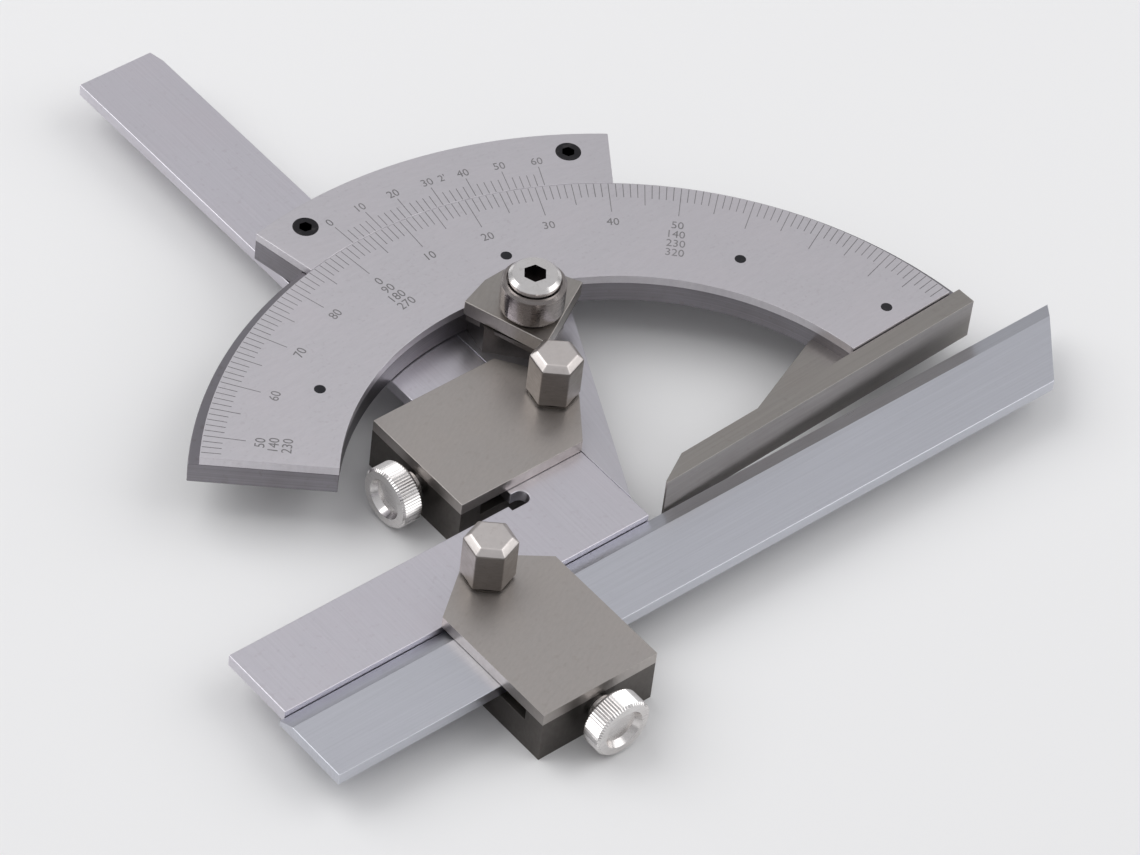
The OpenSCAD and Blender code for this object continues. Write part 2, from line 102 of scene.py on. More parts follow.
world = bpy.data.worlds.new("studio")
bpy.context.scene.world = world
world.use_nodes = True
sky = world.node_tree
background = sky.nodes["Background"]
sky_place = sky.nodes.new("ShaderNodeTexCoord")
sky_split = sky.nodes.new("ShaderNodeSeparateXYZ")
sky_ramp = sky.nodes.new("ShaderNodeValToRGB")
sky.links.new(sky_place.outputs["Generated"], sky_split.inputs[0])
sky.links.new(sky_split.outputs["Z"], sky_ramp.inputs["Fac"])
sky.links.new(sky_ramp.outputs["Color"], background.inputs["Color"])
sky_ramp.color_ramp.elements[0].position = 0.0
sky_ramp.color_ramp.elements[0].color = (0.42, 0.42, 0.43, 1)
sky_ramp.color_ramp.elements[1].position = 0.75
sky_ramp.color_ramp.elements[1].color = (0.78, 0.78, 0.80, 1)
background.inputs["Strength"].default_value = 0.75


def soft_lamp(name, place, size, watts):
    """A square lamp at a place, turned to the middle of the instrument."""
    data = bpy.data.lights.new(name, "AREA")
    data.shape = "SQUARE"
    data.size = size
    data.energy = watts
    lamp = bpy.data.objects.new(name, data)
    bpy.context.scene.collection.objects.link(lamp)
    lamp.location = place
    lamp.rotation_mode = "QUATERNION"
    lamp.rotation_quaternion = (-Vector(place)).to_track_quat("-Z", "Y")
    return lamp


soft_lamp("key_lamp", (-0.5, 0.9, 1.1), 1.4, 11)
soft_lamp("fill_lamp", (0.9, -0.5, 0.9), 1.3, 6)

# ---- square ----
# Ground tool steel, one flat piece with a long and a short leg, clamped to the sector plate.
# The grinder ran along each leg and left a fine lengthwise grain; the edges are eased.


def new_piece(name, bm, body, slot, *stands_for):
    """Makes a bmesh an object that rides on a body. Its slot is not used."""
    mesh = bpy.data.meshes.new(name)
    bm.to_mesh(mesh)
    bm.free()
    piece = bpy.data.objects.new(name, mesh)
    bpy.context.scene.collection.objects.link(piece)
    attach(piece, body)
    if stands_for:
        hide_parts(*stands_for)
    return piece


def sharp_edges(bm, angle=28):
    """The edges where two faces meet at more than an angle, in degrees."""
    least = math.radians(angle)
    return [e for e in bm.edges if len(e.link_faces) == 2 and e.calc_face_angle(0) > least]


def ease(bm, width, segments=3, edges=None):
    """Rounds the sharp edges, as a stone or a light chamfer does."""
    bmesh.ops.bevel(
        bm,
        geom=sharp_edges(bm) if edges is None else edges,
        offset=width * MM,
        offset_type="OFFSET",
        affect="EDGES",
        segments=segments,
        profile=0.5,
        material=-1,
        clamp_overlap=True,
    )


def solid_of(node):
    """A copy of a CAD node's mesh, merged, with its flat faces whole again."""
    bm = bmesh.new()
    bm.from_mesh(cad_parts[node].data)
    bmesh.ops.remove_doubles(bm, verts=bm.verts, dist=0.0005 * MM)
    bmesh.ops.dissolve_limit(
        bm, angle_limit=math.radians(0.6), verts=bm.verts, edges=bm.edges, use_dissolve_boundaries=False
    )
    bm.normal_update()
    return bm


def smooth(piece, angle=30):
    """Shades a piece smoothly up to an angle, and keeps its flat faces flat."""
    piece.data.polygons.foreach_set("use_smooth", [True] * len(piece.data.polygons))
    piece.data.set_sharp_from_angle(angle=math.radians(angle))
    weighted = piece.modifiers.new("flat_faces", "WEIGHTED_NORMAL")
    weighted.keep_sharp = True
    weighted.weight = 100


def group_of(name, ins, outs):
    """An empty node group with float or vector or colour sockets: (name, kind, default)."""
    group = bpy.data.node_groups.new(name, "ShaderNodeTree")
    for label, kind, default in ins:
        socket = group.interface.new_socket(label, in_out="INPUT", socket_type="NodeSocket" + kind)
        socket.default_value = default
    for label, kind in outs:
        group.interface.new_socket(label, in_out="OUTPUT", socket_type="NodeSocket" + kind)
    return group, group.nodes.new("NodeGroupInput"), group.nodes.new("NodeGroupOutput")


# The grain of ground or brushed steel: long fine scratches across one axis, and a slow drift in
# brightness that a surface grinder leaves. It gives a shade around 1, a roughness and a height.
GRAIN, grain_in, grain_out = group_of(
    "ground_grain",
    [
        ("Stretch", "Vector", (60, 2600, 400)),
        ("Turn", "Vector", (0, 0, 0)),
        ("Depth", "Float", 0.3),
        ("Drift", "Float", 0.1),
        ("Roughness", "Float", 0.35),
    ],
    [("Shade", "Float"), ("Roughness", "Float"), ("Height", "Float")],
)


def link(tree, source, target):
    tree.links.new(source, target)


def maths(tree, operation, a, b):
    """A math node; a and b are sockets or numbers."""
    node = tree.nodes.new("ShaderNodeMath")
    node.operation = operation
    for socket, value in zip(node.inputs, (a, b)):
        if isinstance(value, (int, float)):
            socket.default_value = value
        else:
            link(tree, value, socket)
    return node.outputs[0]


def noise(tree, vector, scale, detail, rough=0.5):
    """A noise texture's value around a half."""
    node = tree.nodes.new("ShaderNodeTexNoise")
    node.inputs["Scale"].default_value = scale
    node.inputs["Detail"].default_value = detail
    node.inputs["Roughness"].default_value = rough
    link(tree, vector, node.inputs["Vector"])
    return node.outputs["Fac"]


grain_place = GRAIN.nodes.new("ShaderNodeTexCoord").outputs["Object"]
grain_turn = GRAIN.nodes.new("ShaderNodeMapping")
link(GRAIN, grain_place, grain_turn.inputs["Vector"])
link(GRAIN, grain_in.outputs["Turn"], grain_turn.inputs["Rotation"])
grain_scale = GRAIN.nodes.new("ShaderNodeVectorMath")
grain_scale.operation = "MULTIPLY"
link(GRAIN, grain_turn.outputs["Vector"], grain_scale.inputs[0])
link(GRAIN, grain_in.outputs["Stretch"], grain_scale.inputs[1])
scratches = noise(GRAIN, grain_scale.outputs[0], 1.0, 4.0, 0.6)
clouds = noise(GRAIN, grain_place, 38.0, 3.0)
scratch_swing = maths(GRAIN, "MULTIPLY", maths(GRAIN, "SUBTRACT", scratches, 0.5), grain_in.outputs["Depth"])
cloud_swing = maths(GRAIN, "MULTIPLY", maths(GRAIN, "SUBTRACT", clouds, 0.5), grain_in.outputs["Drift"])
swing = maths(GRAIN, "ADD", scratch_swing, cloud_swing)
link(GRAIN, maths(GRAIN, "ADD", swing, 1.0), grain_out.inputs["Shade"])
rough_swing = maths(GRAIN, "MULTIPLY", swing, -0.5)
link(GRAIN, maths(GRAIN, "ADD", rough_swing, grain_in.outputs["Roughness"]), grain_out.inputs["Roughness"])
link(GRAIN, scratches, grain_out.inputs["Height"])

# The handling marks on bare steel: small pits and a few faint stains, as a mask from 0 to 1.
MARKS, marks_in, marks_out = group_of(
    "handling_marks",
    [("Size", "Float", 900.0), ("Amount", "Float", 0.3)],
    [("Pits", "Float"), ("Stain", "Float")],
)
marks_place = MARKS.nodes.new("ShaderNodeTexCoord").outputs["Object"]
pits = MARKS.nodes.new("ShaderNodeTexNoise")
pits.inputs["Detail"].default_value = 2.0
link(MARKS, marks_place, pits.inputs["Vector"])
link(MARKS, marks_in.outputs["Size"], pits.inputs["Scale"])
pit_ramp = MARKS.nodes.new("ShaderNodeMapRange")
pit_ramp.inputs["From Min"].default_value = 0.58
pit_ramp.inputs["From Max"].default_value = 0.72
link(MARKS, pits.outputs["Fac"], pit_ramp.inputs["Value"])
link(MARKS, maths(MARKS, "MULTIPLY", pit_ramp.outputs[0], marks_in.outputs["Amount"]), marks_out.inputs["Pits"])
stain_ramp = MARKS.nodes.new("ShaderNodeMapRange")
stain_ramp.inputs["From Min"].default_value = 0.45
stain_ramp.inputs["From Max"].default_value = 0.75
link(MARKS, noise(MARKS, marks_place, 90.0, 5.0, 0.6), stain_ramp.inputs["Value"])
link(MARKS, maths(MARKS, "MULTIPLY", stain_ramp.outputs[0], marks_in.outputs["Amount"]), marks_out.inputs["Stain"])


def steel(name, colour, stain, stretch, turn=0.0, depth=0.3, drift=0.12, roughness=0.36, marks=0.25,
          pit_size=900.0, bump=0.02, metallic=1.0):
    """Bare steel: a ground grain along one direction, turned by an angle about Z, with pits and stains."""
    material = bpy.data.materials.new(name)
    material.use_nodes = True
    tree = material.node_tree
    shader = tree.nodes["Principled BSDF"]
    shader.inputs["Metallic"].default_value = metallic
    grain = tree.nodes.new("ShaderNodeGroup")
    grain.node_tree = GRAIN
    grain.inputs["Stretch"].default_value = stretch
    grain.inputs["Turn"].default_value = (0, 0, -math.radians(turn))
    grain.inputs["Depth"].default_value = depth
    grain.inputs["Drift"].default_value = drift
    grain.inputs["Roughness"].default_value = roughness
    spots = tree.nodes.new("ShaderNodeGroup")
    spots.node_tree = MARKS
    spots.inputs["Size"].default_value = pit_size
    spots.inputs["Amount"].default_value = marks
    stained = tree.nodes.new("ShaderNodeMix")
    stained.data_type = "RGBA"
    stained.inputs["A"].default_value = (*colour, 1)
    stained.inputs["B"].default_value = (*stain, 1)
    link(tree, maths(tree, "MAXIMUM", spots.outputs["Pits"], spots.outputs["Stain"]), stained.inputs["Factor"])
    shaded = tree.nodes.new("ShaderNodeVectorMath")
    shaded.operation = "SCALE"
    link(tree, stained.outputs["Result"], shaded.inputs[0])
    link(tree, grain.outputs["Shade"], shaded.inputs["Scale"])
    link(tree, shaded.outputs[0], shader.inputs["Base Color"])
    rough = maths(tree, "ADD", grain.outputs["Roughness"], maths(tree, "MULTIPLY", spots.outputs["Stain"], 0.3))
    link(tree, rough, shader.inputs["Roughness"])
    relief = tree.nodes.new("ShaderNodeBump")
    relief.inputs["Strength"].default_value = 0.4
    relief.inputs["Distance"].default_value = bump * MM
    link(tree, maths(tree, "SUBTRACT", grain.outputs["Height"], spots.outputs["Pits"]), relief.inputs["Height"])
    link(tree, relief.outputs["Normal"], shader.inputs["Normal"])
    return material


def dress(piece, material):
    """Gives a piece its one material."""
    piece.data.materials.clear()
    piece.data.materials.append(material)


LENGTHWISE_X = (40, 2400, 900)
LENGTHWISE_Y = (2400, 40, 900)

strip_finish = steel("ground_strip", (0.70, 0.68, 0.73), (0.50, 0.44, 0.48), LENGTHWISE_Y, depth=0.22,
                     roughness=0.33, marks=0.22)
square_bm = solid_of("square")
ease(square_bm, 0.12)
square = new_piece("square_steel", square_bm, "square", "strip_steel", "square")
smooth(square)
dress(square, strip_finish)

# ---- blade ----
# The measuring blade, ground flat on both sides, with one bevelled edge and a slanted end.
# It slides along the square's short leg under the second clamp.
blade_finish = steel("ground_blade", (0.63, 0.64, 0.69), (0.52, 0.52, 0.56), LENGTHWISE_X, depth=0.24,
                     roughness=0.31, marks=0.15)
blade_bm = solid_of("blade")
ease(blade_bm, 0.10)
blade = new_piece("blade_steel", blade_bm, "blade", "blade_steel", "blade")
smooth(blade, 16)
dress(blade, blade_finish)

# ---- sector plate ----
# The fan-shaped carrier of the vernier, stamped from the same strip steel as the square.
# Its countersunk screws come up from below into the rail and the inner guide.
sector_bm = solid_of("sector_plate")
ease(sector_bm, 0.12)
sector = new_piece("sector_steel", sector_bm, "sector", "strip_steel", "sector_plate")
smooth(sector)
sector_finish = steel("ground_sector", (0.62, 0.61, 0.65), (0.52, 0.47, 0.50), LENGTHWISE_Y, turn=-12,
                      depth=0.2, roughness=0.33, marks=0.2)
dress(sector, sector_finish)

# ---- scale plate ----
# The main dial: a ring of satin steel, its faces lapped and its rim turned.
# Four black pins hold it on the arc body; its right end stops at the base ruler.
READING = 2.4
SCALE_R, SCALE_IN_R = 70.0, 48.2
ARC_END_Y = 3.6
SCALE_END_A = 137.0
TOP_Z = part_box("scale_plate")[1].z / MM
SCALE_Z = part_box("scale_plate")[0].z / MM
PIN_PLACES = [(59.5, 7), (56.0, 32), (55.8, 72), (54.8, 119)]


def turned_ring(section, steps=360):
    """A closed ring: a section in radius and height, in millimetres, spun round Z."""
    bm = bmesh.new()
    verts = [bm.verts.new((r * MM, 0, z * MM)) for r, z in section]
    edges = [bm.edges.new((verts[i], verts[(i + 1) % len(verts)])) for i in range(len(verts))]
    bmesh.ops.spin(bm, geom=verts + edges, cent=(0, 0, 0), axis=(0, 0, 1), angle=math.tau, steps=steps,
                   use_merge=True, use_duplicate=False)
    bmesh.ops.remove_doubles(bm, verts=bm.verts, dist=0.0001 * MM)
    bmesh.ops.recalc_face_normals(bm, faces=bm.faces)
    return bm


def cut_away(bm, place, outward):
    """Cuts off what lies beyond a plane, and closes the cut."""
    cut = bmesh.ops.bisect_plane(
        bm, geom=bm.verts[:] + bm.edges[:] + bm.faces[:], dist=0.0001 * MM,
        plane_co=[c * MM for c in place], plane_no=outward, clear_outer=True,
    )["geom_cut"]
    rim = [e for e in cut if isinstance(e, bmesh.types.BMEdge)]
    bmesh.ops.holes_fill(bm, edges=rim, sides=0)
    bmesh.ops.recalc_face_normals(bm, faces=bm.faces)


def direction(angle):
    return Vector((math.cos(math.radians(angle)), math.sin(math.radians(angle)), 0))


def arc_between(bm, end_y, end_angle):
    """Trims a ring to the arc from a line at end_y, parallel to X, round to an angle."""
    cut_away(bm, (0, end_y, 0), (0, -1, 0))
    if end_angle < 180:
        cut_away(bm, (0, 0, 0), direction(end_angle + 90))


def turned_by(bm, angle):
    bmesh.ops.rotate(bm, verts=bm.verts, cent=(0, 0, 0), matrix=Matrix.Rotation(math.radians(angle), 3, "Z"))


def oblong(r0, r1, z0, z1):
    return [(r0, z0), (r1, z0), (r1, z1), (r0, z1)]


scale_bm = turned_ring(oblong(SCALE_IN_R, SCALE_R, SCALE_Z, TOP_Z))
arc_between(scale_bm, ARC_END_Y, SCALE_END_A)
ease(scale_bm, 0.12)
turned_by(scale_bm, READING)
scale = new_piece("scale_dial", scale_bm, "scale", "scale_steel", "scale_plate")
smooth(scale)
dial_finish = steel("lapped_dial", (0.64, 0.62, 0.65), (0.50, 0.46, 0.49), (420, 1500, 700), turn=READING,
                    depth=0.16, drift=0.1, roughness=0.42, marks=0.3, pit_size=1500.0)
dress(scale, dial_finish)

# ---- scale pins ----
# Blackened steel pins pressed through the dial into the arc body, their ends filed flush.
PIN_R = 0.95


def turned_rod(section, steps=48):
    """A turned piece: a profile from the axis out and back to the axis, spun round Z."""
    bm = bmesh.new()
    verts = [bm.verts.new((r * MM, 0, z * MM)) for r, z in section]
    edges = [bm.edges.new(pair) for pair in zip(verts, verts[1:])]
    bmesh.ops.spin(bm, geom=verts + edges, cent=(0, 0, 0), axis=(0, 0, 1), angle=math.tau, steps=steps,
                   use_merge=True, use_duplicate=False)
    bmesh.ops.remove_doubles(bm, verts=bm.verts, dist=0.0001 * MM)
    bmesh.ops.dissolve_degenerate(bm, edges=bm.edges, dist=0.0001 * MM)
    bmesh.ops.recalc_face_normals(bm, faces=bm.faces)
    return bm


def merged(parts):
    """Joins several bmeshes to one."""
    whole = bmesh.new()
    for part in parts:
        mesh = bpy.data.meshes.new("part")
        part.to_mesh(mesh)
        part.free()
        whole.from_mesh(mesh)
        bpy.data.meshes.remove(mesh)
    return whole


def moved(bm, x=0.0, y=0.0, z=0.0):
    bmesh.ops.translate(bm, verts=bm.verts, vec=Vector((x, y, z)) * MM)
    return bm


PROUD = 0.03
pins = []
for radius, angle in PIN_PLACES:
    pin = turned_rod([(0, SCALE_Z), (PIN_R, SCALE_Z), (PIN_R, TOP_Z), (PIN_R - 0.12, TOP_Z + PROUD), (0, TOP_Z + PROUD)], 32)
    at = direction(angle + READING) * radius
    pins.append(moved(pin, at.x, at.y))
scale_pins = new_piece("dial_pins", merged(pins), "scale", "black_pin", "scale_pins")
smooth(scale_pins)
pin_finish = steel("blackened_pin", (0.020, 0.020, 0.024), (0.05, 0.045, 0.045), (900, 900, 900), depth=0.5,
                   roughness=0.42, marks=0.4, metallic=0.6)
dress(scale_pins, pin_finish)

# ---- arc body ----
# The thick turned ring under the dial. Its lip runs in the vernier's rail,
# and the lathe left fine lines round its inner wall.
LIP_R = 71.8
ARC_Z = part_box("arc_body")[0].z / MM

arc_bm = turned_ring(oblong(SCALE_IN_R, LIP_R, ARC_Z, SCALE_Z))
arc_between(arc_bm, ARC_END_Y, SCALE_END_A)
ease(arc_bm, 0.15)
turned_by(arc_bm, READING)
arc = new_piece("arc_ring", arc_bm, "scale", "arc_steel", "arc_body")
smooth(arc)
# The ring's near-black colour is painted shade and a painted dark reflection, laid under the lathe's grain.
arc_shade_finish = steel("turned_arc_painted_shade", (0.24, 0.23, 0.25), (0.17, 0.145, 0.145), (14, 14, 4200), depth=0.55, drift=0.3,
                   roughness=0.34, marks=0.3, bump=0.05)
dress(arc, arc_shade_finish)

# ---- base ruler ----
# A narrow bar of ground steel whose face points at the vertex, with a chamfered nose.
# Its flange goes under the arc body, where two screws hold it.
ruler_bm = solid_of("base_ruler")
ease(ruler_bm, 0.16)
ruler = new_piece("ruler_steel_bar", ruler_bm, "scale", "ruler_steel", "base_ruler")
smooth(ruler)
ruler_finish = steel("ground_ruler", (0.36, 0.34, 0.32), (0.27, 0.235, 0.22), (60, 3000, 1800), turn=READING,
                     depth=0.3, drift=0.16, roughness=0.34, marks=0.25)
dress(ruler, ruler_finish)

# ---- vernier rail ----
# A curved strip screwed on the sector plate's edge. The arc body's lip runs against its inner side.
MIDDLE_A = 77.8
VERNIER_HALF_A = 23.1
RAIL_IN_R = LIP_R + 0.03
VERNIER_OUT_R = 82.0
COVER_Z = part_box("vernier_rail")[0].z / MM
VERNIER_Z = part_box("vernier_plate")[0].z / MM


def vernier_band(inner, z0, z1):
    """A band of the vernier's width, from its clockwise end to its other end."""
    bm = turned_ring(oblong(inner, VERNIER_OUT_R, z0, z1))
    cut_away(bm, (0, 0, 0), direction(MIDDLE_A - VERNIER_HALF_A - 90))
    cut_away(bm, (0, 0, 0), direction(MIDDLE_A + VERNIER_HALF_A + 90))
    return bm


rail_bm = vernier_band(RAIL_IN_R, COVER_Z, VERNIER_Z)
ease(rail_bm, 0.15)
rail = new_piece("rail_strip", rail_bm, "sector", "arc_steel", "vernier_rail")
smooth(rail)
# The rail takes the ring's near-black colour, painted shade and a painted dark reflection.
dress(rail, arc_shade_finish)

# ---- vernier plate ----
# The second dial, beside the scale and flush with it, held by two black screws.
vernier_bm = vernier_band(SCALE_R + 0.05, VERNIER_Z, TOP_Z)
ease(vernier_bm, 0.12)
vernier = new_piece("vernier_dial", vernier_bm, "sector", "scale_steel", "vernier_plate")
smooth(vernier)
vernier_finish = steel("lapped_vernier", (0.64, 0.62, 0.65), (0.50, 0.46, 0.49), (420, 1500, 700),
                       turn=MIDDLE_A - 90, depth=0.16, drift=0.1, roughness=0.42, marks=0.25, pit_size=1500.0)
dress(vernier, vernier_finish)

# ---- vernier screws ----
# Black flush screws with a small hexagon recess.
VERNIER_SCREW_R = 77.7
VERNIER_SCREW_A = 18.0
HEAD_R = 2.25


def socket_head(radius, height, socket_r, socket_depth, rim, sides=6, steps=48, turn=0.0):
    """A turned head with its top rim eased and a socket sunk in it. Its foot is at height 0."""
    bm = turned_rod([(0, 0), (radius, 0), (radius, height - rim), (radius - rim, height), (0, height)], steps)
    top = [f for f in bm.faces if all(abs(v.co.z - height * MM) < 1e-7 for v in f.verts)]
    bmesh.ops.dissolve_faces(bm, faces=top)
    bm.faces.ensure_lookup_table()
    top = [f for f in bm.faces if all(abs(v.co.z - height * MM) < 1e-7 for v in f.verts)][0]
    outer = list(top.verts)
    bmesh.ops.delete(bm, geom=[top], context="FACES_ONLY")
    circle = bmesh.ops.create_circle(
        bm, segments=sides, radius=socket_r * MM,
        matrix=Matrix.Translation((0, 0, height * MM)) @ Matrix.Rotation(math.radians(turn), 4, "Z"),
    )["verts"]
    inner_edges = {e for v in circle for e in v.link_edges}
    outer_edges = {e for v in outer for e in v.link_edges if all(w in outer for w in e.verts)}
    bmesh.ops.bridge_loops(bm, edges=list(inner_edges | outer_edges))
    low = bmesh.ops.extrude_edge_only(bm, edges=list(inner_edges))
    floor_verts = [g for g in low["geom"] if isinstance(g, bmesh.types.BMVert)]
    bmesh.ops.translate(bm, verts=floor_verts, vec=(0, 0, -socket_depth * MM))
    floor_edges = [g for g in low["geom"] if isinstance(g, bmesh.types.BMEdge)]
    bmesh.ops.holes_fill(bm, edges=floor_edges, sides=0)
    bmesh.ops.recalc_face_normals(bm, faces=bm.faces)
    return bm


screws = []
for side in (-1, 1):
    head = socket_head(HEAD_R, 1.12, 1.15, 0.7, 0.12, turn=20)
    at = direction(MIDDLE_A + side * VERNIER_SCREW_A) * VERNIER_SCREW_R
    screws.append(moved(head, at.x, at.y, TOP_Z - 1.1))
vernier_screws = new_piece("vernier_screw_heads", merged(screws), "sector", "black_screw", "vernier_screws")
smooth(vernier_screws)
screw_finish = steel("blackened_screw", (0.022, 0.021, 0.024), (0.07, 0.065, 0.065), (900, 900, 900), depth=0.5,
                     roughness=0.33, marks=0.5, metallic=0.7)
dress(vernier_screws, screw_finish)

# ---- graduations ----
# Fine engraved lines filled with black wax, on the dial from its rim inward
# and on the vernier from the shared edge outward, with a number at every tenth.
LINE_W = 0.13
INK_T = 0.012


def stroke(bm, angle, r0, r1, width=LINE_W):
    """One radial line, a thin raised bar on the dials' level."""
    box = bmesh.ops.create_cube(bm, size=1.0)["verts"]
    bmesh.ops.scale(bm, verts=box, vec=(abs(r1 - r0) * MM, width * MM, 2 * INK_T * MM))
    bmesh.ops.translate(bm, verts=box, vec=((r0 + r1) / 2 * MM, 0, TOP_Z * MM))
    bmesh.ops.rotate(bm, verts=box, cent=(0, 0, 0), matrix=Matrix.Rotation(math.radians(angle), 3, "Z"))


def numeral(bm, text, size, radius, angle, shift=0.0):
    """A number whose top points outward, centred at a radius and an angle."""
    curve = bpy.data.curves.new("numeral", "FONT")
    curve.body = text
    curve.size = 1.0
    curve.extrude = 0.008
    curve.resolution_u = 3
    holder = bpy.data.objects.new("numeral", curve)
    bpy.context.scene.collection.objects.link(holder)
    bpy.context.view_layer.update()
    mesh = bpy.data.meshes.new_from_object(holder.evaluated_get(bpy.context.evaluated_depsgraph_get()))
    bpy.data.objects.remove(holder)
    bpy.data.curves.remove(curve)
    xs = [v.co.x for v in mesh.vertices]
    ys = [v.co.y for v in mesh.vertices]
    height = max(ys) - min(ys)
    middle = Vector(((min(xs) + max(xs)) / 2, (min(ys) + max(ys)) / 2, 0))
    fit = size / height * MM
    place = (
        Matrix.Rotation(math.radians(angle - 90), 4, "Z")
        @ Matrix.Translation((shift * MM, radius * MM, TOP_Z * MM))
        @ Matrix.Diagonal((fit * 0.92, fit, 2 * INK_T * MM / 0.016 * 1.0, 1))
        @ Matrix.Translation(-middle)
    )
    mesh.transform(place)
    bm.from_mesh(mesh)
    bpy.data.meshes.remove(mesh)


ZERO_A = 93.04
TICK = {1: 3.3, 5: 5.0, 10: 6.8}


def tick_length(degree):
    return TICK[10] if degree % 10 == 0 else TICK[5] if degree % 5 == 0 else TICK[1]


marks_bm = bmesh.new()
last_degree = int(ZERO_A - math.degrees(math.asin(ARC_END_Y / SCALE_R)) - 0.8)
for degree in range(-43, last_degree + 1):
    stroke(marks_bm, ZERO_A - degree, SCALE_R - 0.15, SCALE_R - tick_length(degree))
SINGLES = {-30: "60", -20: "70", -10: "80", 10: "10", 20: "20", 30: "30", 40: "40"}
for degree, text in SINGLES.items():
    numeral(marks_bm, text, 1.65, 60.9, ZERO_A - degree)
STACKS = {-40: ("50", "140", "230"), 0: ("0", "90", "180", "270"), 50: ("50", "140", "230", "320")}
ROW_PITCH = 2.15
for degree, rows in STACKS.items():
    for row, text in enumerate(rows):
        numeral(marks_bm, text, 1.65, 61.0 - row * ROW_PITCH, ZERO_A - degree)
turned_by(marks_bm, READING)
scale_marks = new_piece("scale_marks", marks_bm, "scale", "black_pin")
ink = steel("black_wax", (0.15, 0.145, 0.15), (0.26, 0.25, 0.26), (1200, 1200, 1200), depth=0.5, roughness=0.6,
            marks=0.7, metallic=0.0)
dress(scale_marks, ink)

VERNIER_STEP_A = 29 / 30
vernier_bm = bmesh.new()
for line in range(31):
    inked = TICK[5] if line % 5 == 0 else TICK[1]
    stroke(vernier_bm, ZERO_A - line * VERNIER_STEP_A, SCALE_R + 0.2, SCALE_R + inked - 0.4)
for line in range(0, 31, 5):
    numeral(vernier_bm, str(line * 2), 1.6, 76.0, ZERO_A - line * VERNIER_STEP_A)
numeral(vernier_bm, "2'", 1.5, 76.0, ZERO_A - 15 * VERNIER_STEP_A, shift=2.7)
vernier_marks = new_piece("vernier_marks", vernier_bm, "sector", "black_pin")
dress(vernier_marks, ink)

# ---- inner guide ----
# A milled block on the sector plate that bears on the inside of the arc and carries the brake stud.
guide_bm = solid_of("inner_guide")
ease(guide_bm, 0.2)
guide = new_piece("guide_block", guide_bm, "sector", "clamp_steel", "inner_guide")
smooth(guide)
clamp_finish = steel("milled_clamp", (0.37, 0.35, 0.33), (0.27, 0.23, 0.21), (500, 2200, 900), turn=30, depth=0.3,
                     drift=0.2, roughness=0.36, marks=0.3)
# The guide block, the clamp bodies and the shoes share a near-black colour: painted shade under the covers and the
# brake plate.
body_shade_finish = steel("milled_body_painted_shade", (0.13, 0.12, 0.112), (0.09, 0.078, 0.07), (500, 2200, 900), turn=30,
                    depth=0.3, drift=0.2, roughness=0.4, marks=0.3)
dress(guide, body_shade_finish)

# ---- brake plate ----
# A milled plate under the brake nut that bears on the dial, over the guide's shelf.
brake_bm = solid_of("brake_plate")
ease(brake_bm, 0.25)
brake = new_piece("brake_press_plate", brake_bm, "sector", "clamp_steel", "brake_plate")
smooth(brake)
dress(brake, clamp_finish)

# ---- brake nut ----
# A turned and chromed nut: a wide collar with six slanting flats at its foot, a groove,
# and a low cap with a hexagon socket.
nut_low, nut_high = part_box("brake_nut")
NUT_X, NUT_Y = (nut_low.x + nut_high.x) / 2 / MM, (nut_low.y + nut_high.y) / 2 / MM
NUT_Z, NUT_TOP = nut_low.z / MM, nut_high.z / MM
NUT_R = (nut_high.x - nut_low.x) / 2 / MM

COLLAR_TOP = 6.2
CAP_R = 4.26
collar = turned_rod([
    (0, 0.15), (NUT_R - 0.75, 0.15), (NUT_R - 0.25, 0.55), (NUT_R, 1.1), (NUT_R, COLLAR_TOP - 0.45),
    (NUT_R - 0.35, COLLAR_TOP), (CAP_R + 0.24, COLLAR_TOP), (CAP_R + 0.2, COLLAR_TOP - 0.9),
    (0, COLLAR_TOP - 0.9),
], 96)
for flat in range(6):
    outward = direction(60 * flat + 20)
    cut_away(collar, outward * 4.75, (outward.x * 0.95, outward.y * 0.95, -0.3))
cap_foot = COLLAR_TOP - 0.95
cap = socket_head(CAP_R, NUT_TOP - NUT_Z - cap_foot, 2.0, 2.2, 0.6, turn=20, steps=96)
moved(cap, 0, 0, cap_foot)
for part in (collar, cap):
    moved(part, NUT_X, NUT_Y, NUT_Z)
nut_collar = new_piece("brake_nut_collar", collar, "brake_nut", "chrome", "brake_nut")
smooth(nut_collar)
chrome_finish = steel("worn_chrome", (0.80, 0.78, 0.77), (0.52, 0.48, 0.45), (300, 300, 2600), depth=0.3,
                      drift=0.2, roughness=0.2, marks=0.3, pit_size=1300.0, bump=0.01)
collar_finish = steel("worn_collar", (0.30, 0.275, 0.265), (0.18, 0.155, 0.145), (300, 300, 2600), depth=0.45,
                      drift=0.3, roughness=0.27, marks=0.4, pit_size=1300.0)
dress(nut_collar, collar_finish)
nut_cap = new_piece("brake_nut_cap", cap, "brake_nut", "chrome")
smooth(nut_cap)
dress(nut_cap, chrome_finish)
# The socket's walls and floor are near-black: painted shade in the recess.
socket_shade_finish = steel("painted_shade_socket", (0.07, 0.062, 0.06), (0.035, 0.03, 0.03), (900, 900, 900), depth=0.4,
                      roughness=0.3, marks=0.4)
nut_cap.data.materials.append(socket_shade_finish)
cap_top = NUT_TOP * MM
for face in nut_cap.data.polygons:
    middle = face.center - Vector((NUT_X, NUT_Y, 0)) * MM
    if math.hypot(middle.x, middle.y) < 2.1 * MM and middle.z < cap_top - 0.2 * MM:
        face.material_index = 1

# ---- clamps ----
# Each clamp is a milled body under the strip with a ground cover plate on its wall.
# A hexagon knob draws the cover down, and a knurled side screw presses the strip to its edge.
CLAMPS = {1: ("sector", Vector((0.9, 27.9, 0)), 0.0), 2: ("square", Vector((-29.6, 0, 0)), 90.0)}
KNOB_TURN = {1: 19.0, 2: -11.0}
STUD_IN = 3.0
KNOB_ACROSS = 8.8
HEAD_T, NECK_T, SIDE_R, NECK_R, THREAD_R = 3.9, 1.8, 5.2, 2.4, 1.5

